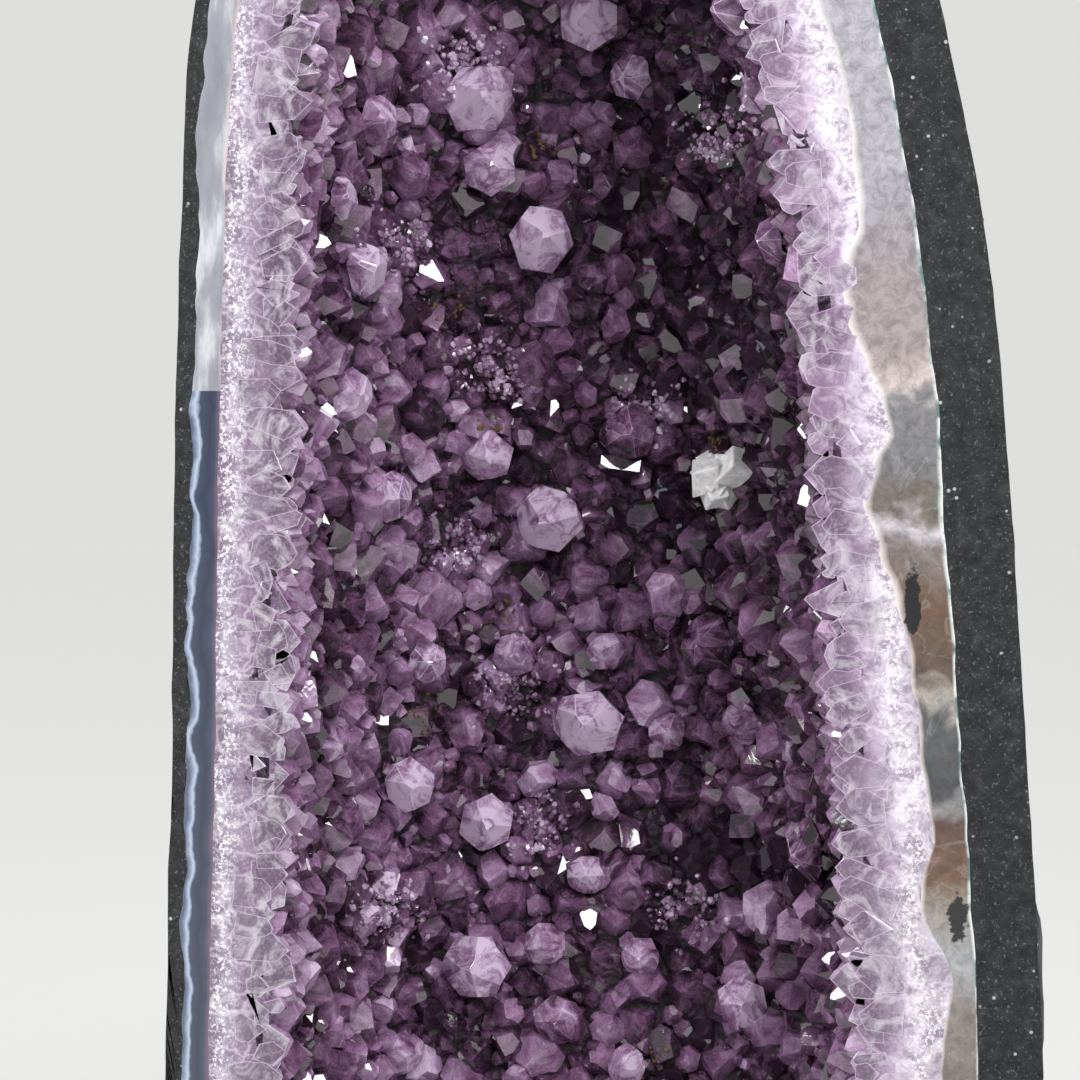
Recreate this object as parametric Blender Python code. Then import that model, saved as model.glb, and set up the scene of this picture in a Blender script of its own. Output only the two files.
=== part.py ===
"""Amethyst cathedral geode: a tall rounded stone with its front sawn off flat, standing on a sawn base.

From the outside in it is a basalt rind, a band of agate, a band of milky quartz and a crust of small
amethyst crystals, on which large amethyst crystals and one white calcite crystal stand. The row frame
has its origin in the middle of the sawn base, +Z up, and the sawn face looks along -Y.
"""

import math
import random

import bmesh
import bpy
from mathutils import Matrix, Vector
from mathutils.bvhtree import BVHTree

MM = 0.001

# The sawn face and the base.
FACE_Y = -58 * MM
HUB = Vector((2 * MM, 0, 212 * MM))
SIDES = 36
RINGS = 6

# The outline of the sawn face, as (x, z) points that a smooth closed curve goes through. Both outlines
# share their upper part. The outer one goes on below z = 0, where it is sawn away to make the base.
UPPER_OUTLINE = (
    (-102, 100), (-100, 165), (-99, 230), (-97, 300), (-94, 355), (-84, 402), (-62, 444), (-28, 472),
    (8, 480), (42, 462), (67, 420), (84, 357), (97, 290), (102, 225), (107, 155), (110, 100),
)
OUTER_FOOT = ((109, 50), (100, 0), (78, -32), (30, -46), (-30, -46), (-70, -32), (-91, 0), (-101, 50))
INNER_FOOT = ((108, 62), (96, 28), (66, 8), (25, 1), (-22, 1), (-60, 8), (-88, 28), (-100, 62))

# How far each surface lies inside its outline, on the left and on the right, and how deep it reaches
# behind the sawn face. Fullness is 1 for an ellipse and less for a squarer section.
SURFACES = {
    "outside": {"left": 0, "right": 0, "depth": 132, "fullness": 0.5},
    "agate": {"left": 3.5, "right": 14.5, "depth": 121, "fullness": 0.55},
    "quartz": {"left": 10.5, "right": 25.5, "depth": 113, "fullness": 0.6},
    "wall": {"left": 26, "right": 41, "depth": 90, "fullness": 0.75},
    "crust": {"left": 29, "right": 44, "depth": 87, "fullness": 0.75},
}
GAP = 0.5
TRIM_GAP = 0.7
PAST_FACE = 12

# Swells of the cavity wall towards the front: centre x and z, radius, height.
SWELLS = ((-22, 300, 44, 22), (-8, 120, 62, 20), (48, 205, 40, 12))

# The small crystals of the crust: how steep their points are, and how far their corners stray.
POINT_STEEPNESS = (0.35, 0.75)
CELL_JITTER = 0.14
CRUST_SEED = 7
FOOT_ROOM = 0.6

# Large amethyst crystals, from the top down: x and z of the foot, width across, and how far the tip
# stands off the crust.
LARGE_CRYSTALS = (
    (2, 420, 15, 12), (-25, 404, 17, 13), (24, 396, 16, 13), (-2, 390, 18, 15), (-47, 374, 15, 12),
    (38, 356, 15, 12), (-5, 362, 17, 14), (6, 348, 13, 11), (-34, 341, 20, 16), (-58, 334, 14, 11),
    (-31, 323, 15, 12), (-64, 313, 13, 8), (-18, 305, 19, 15), (46, 302, 14, 10), (-61, 296, 15, 12),
    (-64, 264, 15, 12), (4, 255, 17, 12), (-34, 249, 16, 12), (-57, 238, 15, 11), (-17, 232, 19, 17),
    (27, 199, 20, 12), (-49, 194, 12, 10), (-27, 195, 13, 10), (-2, 196, 11, 9), (-6, 177, 20, 16),
    (15, 175, 12, 8), (36, 179, 13, 9), (-67, 176, 11, 8), (-53, 162, 16, 13), (-33, 151, 16, 13),
    (55, 149, 18, 11), (-5, 138, 13, 9), (-16, 120, 13, 9), (-34, 114, 19, 16), (9, 117, 12, 8),
    (-53, 92, 13, 9), (-12, 101, 14, 10), (6, 90, 12, 8), (36, 106, 15, 11), (-28, 74, 16, 12),
    (22, 68, 15, 11),
)
CRYSTAL_LENGTH = 60
CRYSTAL_FLATNESS = (0.86, 1.0)
# How much a crystal leans from straight out of the face towards square to the wall.
WALL_LEAN = 0.5
CALCITE = (30, 242, 14, 9)
CALCITE_LENGTH = 1.8
# The six faces of a quartz point slope at this angle to the plane across its axis.
POINT_SLOPE = math.radians(51.8)

STONE_COLOURS = {
    "basalt_rind": ((0.050, 0.052, 0.052), 0.85),
    "agate_band": ((0.30, 0.33, 0.38), 0.25),
    "quartz_band": ((0.74, 0.66, 0.76), 0.45),
    "amethyst_druse": ((0.24, 0.12, 0.27), 0.20),
    "amethyst_crystal": ((0.42, 0.26, 0.46), 0.20),
    "calcite_crystal": ((0.82, 0.82, 0.78), 0.50),
}


def clear_scene():
    for thing in list(bpy.data.objects):
        bpy.data.objects.remove(thing, do_unlink=True)


def stone_material(kind):
    """A plain Principled material in the mineral's own colour."""
    found = bpy.data.materials.get(kind)
    if found:
        return found
    colour, roughness = STONE_COLOURS[kind]
    made = bpy.data.materials.new(kind)
    made.use_nodes = True
    shader = made.node_tree.nodes["Principled BSDF"]
    shader.inputs["Base Color"].default_value = (*colour, 1)
    shader.inputs["Roughness"].default_value = roughness
    shader.inputs["Metallic"].default_value = 0
    return made


def add_object(name, mesh_source, kind):
    """An object in the scene made from a bmesh, which is freed."""
    bmesh.ops.recalc_face_normals(mesh_source, faces=mesh_source.faces)
    mesh = bpy.data.meshes.new(name)
    mesh_source.to_mesh(mesh)
    mesh_source.free()
    made = bpy.data.objects.new(name, mesh)
    bpy.context.scene.collection.objects.link(made)
    if kind:
        mesh.materials.append(stone_material(kind))
    return made


def as_guide(thing):
    """Marks a cutter, which is no part of the stone."""
    thing.hide_render = True
    thing.display_type = "WIRE"
    return thing


def add_boolean(thing, operation, other):
    cut = thing.modifiers.new(operation.lower(), "BOOLEAN")
    cut.operation = operation
    cut.solver = "EXACT"
    cut.object = other
    return cut


def smooth_loop(points, steps=12):
    """Points along a closed Catmull-Rom curve through the given (x, z) points, in millimetres."""
    count = len(points)
    found = []
    for i in range(count):
        a, b, c, d = (Vector(points[(i + k) % count]) for k in (-1, 0, 1, 2))
        for step in range(steps):
            t = step / steps
            found.append(
                0.5 * (2 * b + (c - a) * t + (2 * a - 5 * b + 4 * c - d) * t**2
                       + (3 * b - a - 3 * c + d) * t**3)
            )
    return found


def even_loop(points, count):
    """The closed loop of points again, as count points at even distances along it."""
    reach = [0.0]
    for a, b in zip(points, points[1:] + points[:1]):
        reach.append(reach[-1] + (b - a).length)
    found, at = [], 0
    for i in range(count):
        wanted = reach[-1] * i / count
        while reach[at + 1] < wanted:
            at += 1
        a, b = points[at], points[(at + 1) % len(points)]
        found.append(a.lerp(b, (wanted - reach[at]) / (reach[at + 1] - reach[at])))
    return found


def inset_loop(foot, left, right):
    """The outline with this foot moved inwards, by a distance that depends on which way it faces."""
    outline = even_loop(smooth_loop(UPPER_OUTLINE + foot), SIDES)
    found = []
    for i, point in enumerate(outline):
        along = (outline[(i + 1) % SIDES] - outline[i - 1]).normalized()
        outward = Vector((-along.y, along.x))
        found.append(point - outward * (left + (right - left) * (1 + outward.x) / 2))
    return found


def swell_height(x, z):
    """How far the swells bring the cavity wall forwards at x, z, in millimetres."""
    total = 0.0
    for centre_x, centre_z, radius, height in SWELLS:
        away = math.hypot(x - centre_x, z - centre_z) / radius
        total += height * math.exp(-away * away)
    return total


def dome_source(surface, shrink=0.0, forward=0.0, swollen=False, whole_quads=False):
    """A closed bmesh of everything inside one surface: half a globe, drawn out to the outline's shape.

    shrink moves the surface inwards on every side. forward carries its flat front on past the face.
    """
    shape = SURFACES[surface]
    foot = OUTER_FOOT if surface == "outside" else INNER_FOOT
    loop = inset_loop(foot, shape["left"] + shrink, shape["right"] + shrink)
    depth = shape["depth"] - shrink
    source = bmesh.new()
    bmesh.ops.create_uvsphere(source, u_segments=SIDES, v_segments=2 * RINGS, radius=1)
    bmesh.ops.bisect_plane(
        source, geom=source.verts[:] + source.edges[:] + source.faces[:], dist=1e-5,
        plane_co=(0, 0, 0), plane_no=(0, 0, 1), clear_inner=True,
    )
    for vert in source.verts:
        turn = math.atan2(vert.co.y, vert.co.x) / math.tau
        behind = min(1.0, vert.co.z)
        across = math.sqrt(max(0.0, 1 - behind**2)) ** shape["fullness"]
        rim = loop[round(turn * SIDES) % SIDES]
        x = HUB.x / MM + (rim.x - HUB.x / MM) * across
        z = HUB.z / MM + (rim.y - HUB.z / MM) * across
        y = depth * behind
        if swollen:
            y -= swell_height(x, z) * math.sin(math.pi / 2 * behind) ** 2
        vert.co = Vector((x * MM, FACE_Y + y * MM, z * MM))
    rim_edges = [edge for edge in source.edges if edge.is_boundary]
    if forward:
        drawn = bmesh.ops.extrude_edge_only(source, edges=rim_edges)["geom"]
        moved = [item for item in drawn if isinstance(item, bmesh.types.BMVert)]
        bmesh.ops.translate(source, verts=moved, vec=(0, -forward * MM, 0))
        rim_edges = [edge for edge in source.edges if edge.is_boundary]
    bmesh.ops.edgeloop_fill(source, edges=rim_edges)
    if not whole_quads:
        quads = [face for face in source.faces if len(face.verts) == 4]
        bmesh.ops.triangulate(source, faces=quads, quad_method="FIXED")
    bmesh.ops.recalc_face_normals(source, faces=source.faces)
    return source


def cavity_source(shrink):
    """The space inside the crust, with a smooth wall of small cells and its front carried past the face."""
    source = dome_source("crust", shrink=shrink, forward=PAST_FACE, swollen=True, whole_quads=True)
    edges = list({edge for face in wall_faces(source) for edge in face.edges})
    bmesh.ops.subdivide_edges(source, edges=edges, cuts=1, use_grid_fill=True)
    return source


def wall_faces(source):
    """The faces of a cavity that line the stone, as against its carried-forward front."""
    just_proud = FACE_Y - 0.1 * MM
    return [face for face in source.faces if min(v.co.y for v in face.verts) > just_proud]


def air_source(standing):
    """The air in the cavity. Each cell of its wall is poked inwards to make the point of a small crystal.

    Round the foot of each thing that stands on the crust the wall stays smooth, so that it fits there.
    """
    source = cavity_source(shrink=0)
    draw = random.Random(CRUST_SEED)
    strays = {}
    for vert in source.verts:
        shortest = min(edge.calc_length() for edge in vert.link_edges)
        stray = Vector(draw.uniform(-1, 1) for _ in range(3)) * CELL_JITTER * shortest
        inside = vert.co.y > FACE_Y + 1 * MM
        around = {corner for face in vert.link_faces for corner in face.verts}
        if inside and all(thing.clears(corner.co, FOOT_ROOM * MM) for thing in standing for corner in around):
            strays[vert] = stray
    for vert, stray in strays.items():
        vert.co += stray
    walls = wall_faces(source)
    bmesh.ops.recalc_face_normals(source, faces=source.faces)
    sizes = [math.sqrt(face.calc_area()) for face in walls]
    outward = [face.normal.copy() for face in walls]
    corners = [[vert.co.copy() for vert in face.verts] for face in walls]
    peaks = bmesh.ops.poke(source, faces=walls, center_mode="MEAN")["verts"]
    for peak, size, normal, cell in zip(peaks, sizes, outward, corners):
        tip = peak.co - normal * draw.uniform(*POINT_STEEPNESS) * size
        around = [tip]
        for corner, following in zip(cell, cell[1:] + cell[:1]):
            around += [corner, (corner + tip) / 2, (corner + following) / 2, (corner + following + tip) / 3]
        if all(thing.clears(place, FOOT_ROOM * MM) for thing in standing for place in around):
            peak.co = tip
    return source


class Standing:
    """Where something stands on the crust: its tip, the way it points and how far it is across."""

    def __init__(self, name, row, wall, seed):
        x, z, width, stand = (value * MM for value in row)
        foot, normal, _, _ = wall.ray_cast(Vector((x, FACE_Y + 0.5 * MM, z)), Vector((0, 1, 0)))
        inward = normal if normal.y < 0 else -normal
        self.name = name
        self.radius = width / 2
        self.axis = (inward * WALL_LEAN + Vector((0, -1, 0)) * (1 - WALL_LEAN)).normalized()
        self.tip = foot + self.axis * stand
        self.draw = random.Random(seed)

    def clears(self, point, reach):
        """Whether a point stays at least reach away from its sides."""
        return (point - self.tip).cross(self.axis).length > self.radius + reach

    def put_in_place(self, source):
        """Moves a bmesh made with its tip at the origin, pointing up, to where it stands."""
        place = (
            Matrix.Translation(self.tip)
            @ self.axis.to_track_quat("Z", "Y").to_matrix().to_4x4()
            @ Matrix.Rotation(self.draw.uniform(0, math.tau), 4, "Z")
        )
        bmesh.ops.transform(source, verts=source.verts, matrix=place)
        return source

    def amethyst_source(self):
        """A six-sided prism, sawn to a point by six planes, with its tip in place and its root deep."""
        made = bmesh.new()
        length = CRYSTAL_LENGTH * MM
        bmesh.ops.create_cone(
            made, cap_ends=True, segments=6, radius1=self.radius, radius2=self.radius, depth=length
        )
        bmesh.ops.translate(made, verts=made.verts, vec=(0, 0, -length / 2))
        stretch = self.draw.uniform(*CRYSTAL_FLATNESS)
        bmesh.ops.scale(made, verts=made.verts, vec=(1, stretch, 1))
        for side in range(6):
            turn = math.radians(30 + 60 * side)
            normal = Vector((
                math.cos(turn) * math.sin(POINT_SLOPE),
                math.sin(turn) * math.sin(POINT_SLOPE),
                math.cos(POINT_SLOPE),
            ))
            alternate = 0.10 if side % 2 else 0.0
            back = (alternate + self.draw.uniform(0, 0.12)) * self.radius
            bmesh.ops.bisect_plane(
                made, geom=made.verts[:] + made.edges[:] + made.faces[:], dist=1e-7,
                plane_co=Vector((0, 0, -back)), plane_no=normal, clear_outer=True,
            )
            bmesh.ops.edgeloop_fill(made, edges=[edge for edge in made.edges if edge.is_boundary])
        return self.put_in_place(made)

    def calcite_source(self):
        """A blunt lump, broken rather than faceted, with its root behind the wall."""
        made = bmesh.new()
        bmesh.ops.create_icosphere(made, subdivisions=2, radius=self.radius)
        for vert in made.verts:
            vert.co *= self.draw.uniform(0.82, 0.97)
        bmesh.ops.scale(made, verts=made.verts, vec=(0.85, 1.0, CALCITE_LENGTH))
        bmesh.ops.translate(made, verts=made.verts, vec=(0, 0, -CALCITE_LENGTH * self.radius))
        return self.put_in_place(made)


def build_layer(name, outer, inner, swollen):
    """One layer of the stone: what lies inside one surface and outside the next."""
    source = dome_source(outer, shrink=0 if outer == "outside" else GAP)
    if outer == "outside":
        bmesh.ops.bisect_plane(
            source, geom=source.verts[:] + source.edges[:] + source.faces[:], dist=1e-6,
            plane_co=(0, 0, 0), plane_no=(0, 0, 1), clear_inner=True,
        )
        bmesh.ops.edgeloop_fill(source, edges=[edge for edge in source.edges if edge.is_boundary])
    layer = add_object(name, source, name)
    inside = dome_source(inner, forward=PAST_FACE, swollen=swollen)
    add_boolean(layer, "DIFFERENCE", as_guide(add_object(name + "_hollow", inside, None)))
    return layer


def build():
    clear_scene()
    wall_source = dome_source("crust", swollen=True)
    wall = BVHTree.FromBMesh(wall_source)
    wall_source.free()
    crystals = [
        Standing(f"amethyst_crystal_{i + 1:02d}", row, wall, seed=i + 1)
        for i, row in enumerate(LARGE_CRYSTALS)
    ]
    calcite = Standing("calcite_crystal", CALCITE, wall, seed=CRUST_SEED)

    build_layer("basalt_rind", "outside", "agate", swollen=False)
    build_layer("agate_band", "agate", "quartz", swollen=False)
    build_layer("quartz_band", "quartz", "wall", swollen=True)

    druse = add_object("amethyst_druse", dome_source("wall", shrink=GAP, swollen=True), "amethyst_druse")
    air = as_guide(add_object("cavity_air", air_source([*crystals, calcite]), None))
    add_boolean(druse, "DIFFERENCE", air)

    clear_air = as_guide(add_object("crystal_trimmer", cavity_source(shrink=TRIM_GAP), None))
    for crystal in crystals:
        add_boolean(
            add_object(crystal.name, crystal.amethyst_source(), "amethyst_crystal"),
            "INTERSECT", clear_air,
        )
    add_boolean(
        add_object(calcite.name, calcite.calcite_source(), "calcite_crystal"), "INTERSECT", clear_air
    )


build()
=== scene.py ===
# %% [markdown]
# # An amethyst cathedral geode
#
# A gas bubble in a lava flow is the mould of this stone. Agate lined the bubble first, milky quartz grew
# on the agate, and the last quartz grew into the open space as amethyst points. The stone was then sawn
# along its height, so the flat face shows every layer as a band round a deep, glittering cavity.
# We load the measured solids first. They say where each layer lies, and all the fine shapes start there.

import itertools
import math
import random

import bmesh
import bpy
from mathutils import Matrix, Vector, noise
from mathutils.bvhtree import BVHTree


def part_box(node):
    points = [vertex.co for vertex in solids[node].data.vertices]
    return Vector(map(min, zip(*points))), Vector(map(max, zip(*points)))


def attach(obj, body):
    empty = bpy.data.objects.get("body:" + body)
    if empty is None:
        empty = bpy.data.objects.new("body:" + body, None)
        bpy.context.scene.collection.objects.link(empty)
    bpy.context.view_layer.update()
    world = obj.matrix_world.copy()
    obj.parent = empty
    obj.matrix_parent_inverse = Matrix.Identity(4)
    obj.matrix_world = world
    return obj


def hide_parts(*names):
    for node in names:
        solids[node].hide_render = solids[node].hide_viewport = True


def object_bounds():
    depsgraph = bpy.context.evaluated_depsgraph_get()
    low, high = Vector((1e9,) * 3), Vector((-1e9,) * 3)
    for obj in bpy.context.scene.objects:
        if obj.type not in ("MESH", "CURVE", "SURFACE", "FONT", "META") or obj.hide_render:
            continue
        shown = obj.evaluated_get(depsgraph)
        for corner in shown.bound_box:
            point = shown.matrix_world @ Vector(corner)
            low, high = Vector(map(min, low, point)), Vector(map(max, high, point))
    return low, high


MM = 0.001
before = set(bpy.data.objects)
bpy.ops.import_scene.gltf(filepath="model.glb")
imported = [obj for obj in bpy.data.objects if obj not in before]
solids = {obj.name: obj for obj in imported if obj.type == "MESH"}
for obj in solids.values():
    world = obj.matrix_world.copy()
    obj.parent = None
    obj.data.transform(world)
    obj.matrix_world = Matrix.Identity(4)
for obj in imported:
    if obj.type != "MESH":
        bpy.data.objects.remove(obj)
solid_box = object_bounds()
FACE_Y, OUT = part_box("quartz_band")[0].y, Vector((0, -1, 0))
crystal_names = sorted(name for name in solids if name.startswith("amethyst_crystal"))
print("solids:", len(solids), "large crystals:", len(crystal_names), "face at y =", round(FACE_Y, 4))

# %% [markdown]
# ## The camera, the light and the room
#
# A stone like this is shown close up, from a little right of its middle and hardly above it. A long lens
# keeps the two rims parallel. Four small lamps, two on the right and two on the left, make the facets
# flash, and a large soft one above gives others a grey sheen. The backdrop looks pale to the camera but
# shines on the stone only weakly: in an evenly bright room the gaps between crystals would turn grey.

# %% Camera
def direction(azimuth, elevation):
    """The way from the stone towards something at that angle round it and above it."""
    a, e = math.radians(azimuth), math.radians(elevation)
    return Vector((math.sin(a) * math.cos(e), -math.cos(a) * math.cos(e), math.sin(e)))


LOOK_AT = Vector((-9 * MM, FACE_Y, 228.6 * MM))
CAMERA_WAY, CAMERA_DISTANCE = direction(8, 2), 0.607
camera_data = bpy.data.cameras.new("camera")
camera_data.lens, camera_data.sensor_width = 85, 36
camera = bpy.data.objects.new("camera", camera_data)
bpy.context.scene.collection.objects.link(camera)
camera.location = LOOK_AT + CAMERA_WAY * CAMERA_DISTANCE
camera.rotation_euler = CAMERA_WAY.to_track_quat("Z", "Y").to_euler()
bpy.context.scene.camera = camera
print("camera at", [round(v, 3) for v in camera.location])

# %% Lamps
LAMPS = (
    # name, angle round the stone, angle above it, distance, width and watts
    ("key_lamp", 48, 30, 1.2, 0.44, 7.6),
    ("high_lamp", 26, 56, 1.2, 0.38, 6.2),
    ("sheen_lamp", 6, 40, 1.4, 1.0, 3.2),
    ("glint_lamp", -46, 26, 1.2, 0.34, 4.4),
    ("side_lamp", -64, 12, 1.2, 0.40, 6.5),
)
for name, azimuth, elevation, distance, width, watts in LAMPS:
    data = bpy.data.lights.new(name, "AREA")
    data.shape, data.size, data.energy = "SQUARE", width, watts
    lamp = bpy.data.objects.new(name, data)
    bpy.context.scene.collection.objects.link(lamp)
    lamp.location = LOOK_AT + direction(azimuth, elevation) * distance
    lamp.rotation_euler = direction(azimuth, elevation).to_track_quat("Z", "Y").to_euler()
print("lamps:", [lamp[0] for lamp in LAMPS])

# %% Room and floor
PALE_BACKDROP, DIM_ROOM = (0.735, 0.735, 0.715, 1), (0.42, 0.42, 0.43, 1)
FLOOR_RADIUS = 6
room = bpy.data.worlds.new("room")
room.use_nodes = True
nodes, links = room.node_tree.nodes, room.node_tree.links
backdrop = nodes["Background"]
backdrop.inputs["Color"].default_value = PALE_BACKDROP
dim_room = nodes.new("ShaderNodeBackground")
dim_room.inputs["Color"].default_value = DIM_ROOM
seen = nodes.new("ShaderNodeLightPath")
either = nodes.new("ShaderNodeMixShader")
links.new(seen.outputs["Is Camera Ray"], either.inputs[0])
links.new(dim_room.outputs[0], either.inputs[1])
links.new(backdrop.outputs[0], either.inputs[2])
links.new(either.outputs[0], nodes["World Output"].inputs["Surface"])
bpy.context.scene.world = room
bpy.context.scene.view_settings.view_transform = "Standard"


def mesh_from(name, source):
    """A mesh from a bmesh, which is freed."""
    mesh = bpy.data.meshes.new(name)
    source.to_mesh(mesh)
    source.free()
    return mesh


def object_from(name, source, finish=None):
    """An object at the origin from a bmesh, with its finish if there is one yet."""
    made = bpy.data.objects.new(name, mesh_from(name, source))
    if finish:
        made.data.materials.append(finish.material)
    bpy.context.scene.collection.objects.link(made)
    return made


def pour(source, target):
    """Adds what is in one bmesh to another and frees the first."""
    mesh = mesh_from("poured", source)
    target.from_mesh(mesh)
    bpy.data.meshes.remove(mesh)


source = bmesh.new()
bmesh.ops.create_circle(source, cap_ends=True, segments=96, radius=FLOOR_RADIUS)
floor = object_from("floor", source)
print("floor", 2 * FLOOR_RADIUS, "m across")

# %% [markdown]
# ## Helpers for finishes
#
# Every finish here is a small tree of nodes on a Principled shader. A few helpers keep the trees short.
# The first ones add any node and join or set its inputs, and the others add the kinds used most.

# %% Finish helpers
class Finish:
    """A material and short ways to add nodes to it."""

    def __init__(self, name, roughness=0.5, **settings):
        self.material = bpy.data.materials.new(name)
        self.material.use_nodes = True
        self.tree = self.material.node_tree
        self.shader = self.tree.nodes["Principled BSDF"]
        self.set("Roughness", roughness)
        for socket, value in settings.items():
            self.set(socket.replace("_", " "), value)

    def set(self, socket, value):
        """Feeds one of the shader's own inputs."""
        self.feed(self.shader.inputs[socket], value)

    def feed(self, entry, value):
        """Joins a node's output to an input, or sets the input to a number or colour."""
        if isinstance(value, bpy.types.NodeSocket):
            self.tree.links.new(value, entry)
        elif value is not None:
            entry.default_value = value

    def add(self, kind, *values, out=0, **settings):
        """A node of that kind. Values go to its inputs in order, settings to its own options."""
        made = self.tree.nodes.new("ShaderNode" + kind)
        for option, value in settings.items():
            setattr(made, option, value)
        for entry, value in zip(made.inputs, values):
            self.feed(entry, value)
        return made.outputs[out]

    def ramp(self, factor, *stops):
        """A colour for each value of factor, from (place, colour) stops. One number stands for a grey."""
        made = self.tree.nodes.new("ShaderNodeValToRGB")
        for i, (place, colour) in enumerate(stops):
            element = made.color_ramp.elements[i] if i < 2 else made.color_ramp.elements.new(place)
            element.position = place
            element.color = (*colour, 1) if isinstance(colour, tuple) else (colour, colour, colour, 1)
        self.feed(made.inputs[0], factor)
        return made.outputs[0]

    def math(self, operation, *values, clamp=False):
        """A sum or other operation on one number per point, kept between 0 and 1 if clamp is on."""
        return self.add("Math", *values, operation=operation, use_clamp=clamp)

    def swayed(self, value, clouds, share):
        """A value moved up and down by a share of some noise."""
        return self.math("ADD", value, self.math("MULTIPLY", self.math("SUBTRACT", clouds, 0.5), share))

    def mix(self, factor, a, b, blend="MIX"):
        """Colour a turning to colour b as factor goes from 0 to 1."""
        made = self.tree.nodes.new("ShaderNodeMix")
        made.data_type, made.blend_type = "RGBA", blend
        for entry, value in zip((made.inputs[0], made.inputs[6], made.inputs[7]), (factor, a, b)):
            self.feed(entry, (*value, 1) if isinstance(value, tuple) else value)
        return made.outputs[2]

    def place(self, stretch=(1, 1, 1)):
        """The position on the stone, in metres, stretched along each axis."""
        where = self.add("TexCoord", out=3)
        return self.add("Mapping", where, None, None, stretch)

    def noise(self, scale, detail=4, rough=0.55, distortion=0.0, where=None):
        """Cloudy noise with about that many features to the metre."""
        where = where or self.place()
        return self.add("TexNoise", where, None, scale, detail, rough, None, None, None, distortion)

    def attribute(self, name):
        """A number that the mesh carries."""
        return self.add("Attribute", out=2, attribute_name=name)

    def bump(self, height, depth, strength=1.0, under=None):
        """A bump of that depth in metres, on top of another one if it is given."""
        made = self.tree.nodes.new("ShaderNodeBump")
        made.inputs["Strength"].default_value = strength
        made.inputs["Distance"].default_value = depth
        self.feed(made.inputs["Height"], height)
        self.feed(made.inputs["Normal"], under)
        return made.outputs[0]


# %% Floor finish
floor_finish = Finish("pale_floor", roughness=0.9, Emission_Strength=0.61)
floor_finish.set("Base Color", (0.25, 0.25, 0.245, 1))
floor_finish.set("Emission Color", (1, 1, 0.97, 1))
floor.data.materials.append(floor_finish.material)
print("floor finish:", floor_finish.material.name)

# %% [markdown]
# ## Layers from the solids
#
# The measured layers are coarse: each is made of flat facets. We copy a solid, pair its triangles back into
# four-sided faces and let a subdivision surface round it, with its sawn edges creased so they stay sharp.
# Sculpting each layer from nothing would look as good, but could drift from the measured stone.

# %% Refine a solid
def merged_copy(node):
    """A solid's mesh as a bmesh with its loose triangles joined along their edges."""
    source = bmesh.new()
    source.from_mesh(solids[node].data)
    bmesh.ops.remove_doubles(source, verts=source.verts, dist=0.01 * MM)
    return source


ON_PLANE = 0.05 * MM


def in_sawn_front(face):
    """Whether a face lies in the sawn front."""
    return all(abs(v.co.y - FACE_Y) < ON_PLANE for v in face.verts)


def is_sawn(face):
    """Whether a face lies in the sawn front or in the sawn base."""
    return in_sawn_front(face) or all(abs(v.co.z) < ON_PLANE for v in face.verts)


def refined(node, fine_depth, rows, levels=3):
    """A rounded copy of a layer, with smaller faces down to fine_depth and rows of them in front."""
    source = merged_copy(node)
    bmesh.ops.delete(source, geom=[f for f in source.faces if in_sawn_front(f)], context="FACES")
    for edge in source.edges:
        edge.smooth = len({is_sawn(face) for face in edge.link_faces}) == 1
    crease = source.edges.layers.float.new("crease_edge")
    bmesh.ops.join_triangles(
        source, faces=source.faces, cmp_sharp=True,
        angle_face_threshold=math.radians(40), angle_shape_threshold=math.radians(70),
    )
    for edge in source.edges:
        edge[crease] = 0.0 if edge.smooth else 1.0
    rough = object_from(node + "_rough", source)
    rounding = rough.modifiers.new("round", "SUBSURF")
    rounding.levels = rounding.render_levels = levels
    rounding.boundary_smooth = "PRESERVE_CORNERS"
    shape = rough.evaluated_get(bpy.context.evaluated_depsgraph_get())
    source = bmesh.new()
    source.from_mesh(shape.to_mesh())
    bpy.data.objects.remove(rough)
    near = [e for e in source.edges if max(v.co.y for v in e.verts) < FACE_Y + fine_depth]
    bmesh.ops.subdivide_edges(source, edges=near, cuts=1, use_grid_fill=True)
    rims = [e for e in source.edges if e.is_boundary]
    bridged = bmesh.ops.bridge_loops(source, edges=rims)
    bmesh.ops.recalc_face_normals(source, faces=source.faces)
    rungs = [e for e in bridged["edges"] if e.is_valid]
    bmesh.ops.subdivide_edges(source, edges=rungs, cuts=rows - 1, use_grid_fill=True)
    left_open = sum(1 for e in source.edges if not e.is_manifold)
    print(node, "refined to", len(source.faces), "faces, open edges:", left_open)
    return source


layers = {
    "basalt": refined("basalt_rind", 6 * MM, 8),
    "agate": refined("agate_band", 3 * MM, 10),
    "quartz": refined("quartz_band", 3 * MM, 10),
}

# %% [markdown]
# ## How far across a layer each point is
#
# Bands in agate and the colour of quartz follow the way the stone grew, from the lava inwards. Each point
# gets a number, 0 at its layer's outer side and 1 at its inner side, from its distances to the neighbouring
# solids. The finishes read that number, and so do the shapes below.

# %% Distance across the layers
def surface_of(node):
    """A solid's surface in a form that answers quickly how near it is."""
    source = merged_copy(node)
    found = BVHTree.FromBMesh(source)
    source.free()
    return found


near_basalt, near_agate, near_quartz, near_druse = (
    surface_of(node) for node in ("basalt_rind", "agate_band", "quartz_band", "amethyst_druse"))


def across(point, outer, inner):
    """0 where a point touches the outer neighbour, 1 where it touches the inner one."""
    out, into = outer.find_nearest(point)[3], inner.find_nearest(point)[3]
    return out / max(out + into, 1e-9)


CAVITY_X, CAVITY_FOOT, CAVITY_HEAD = 2 * MM, 95 * MM, 380 * MM


def cavity_middle(y, z):
    """The middle of the cavity at some depth and height. Its round foot and head have one middle each."""
    return Vector((CAVITY_X, y, min(max(z, CAVITY_FOOT), CAVITY_HEAD)))


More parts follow.
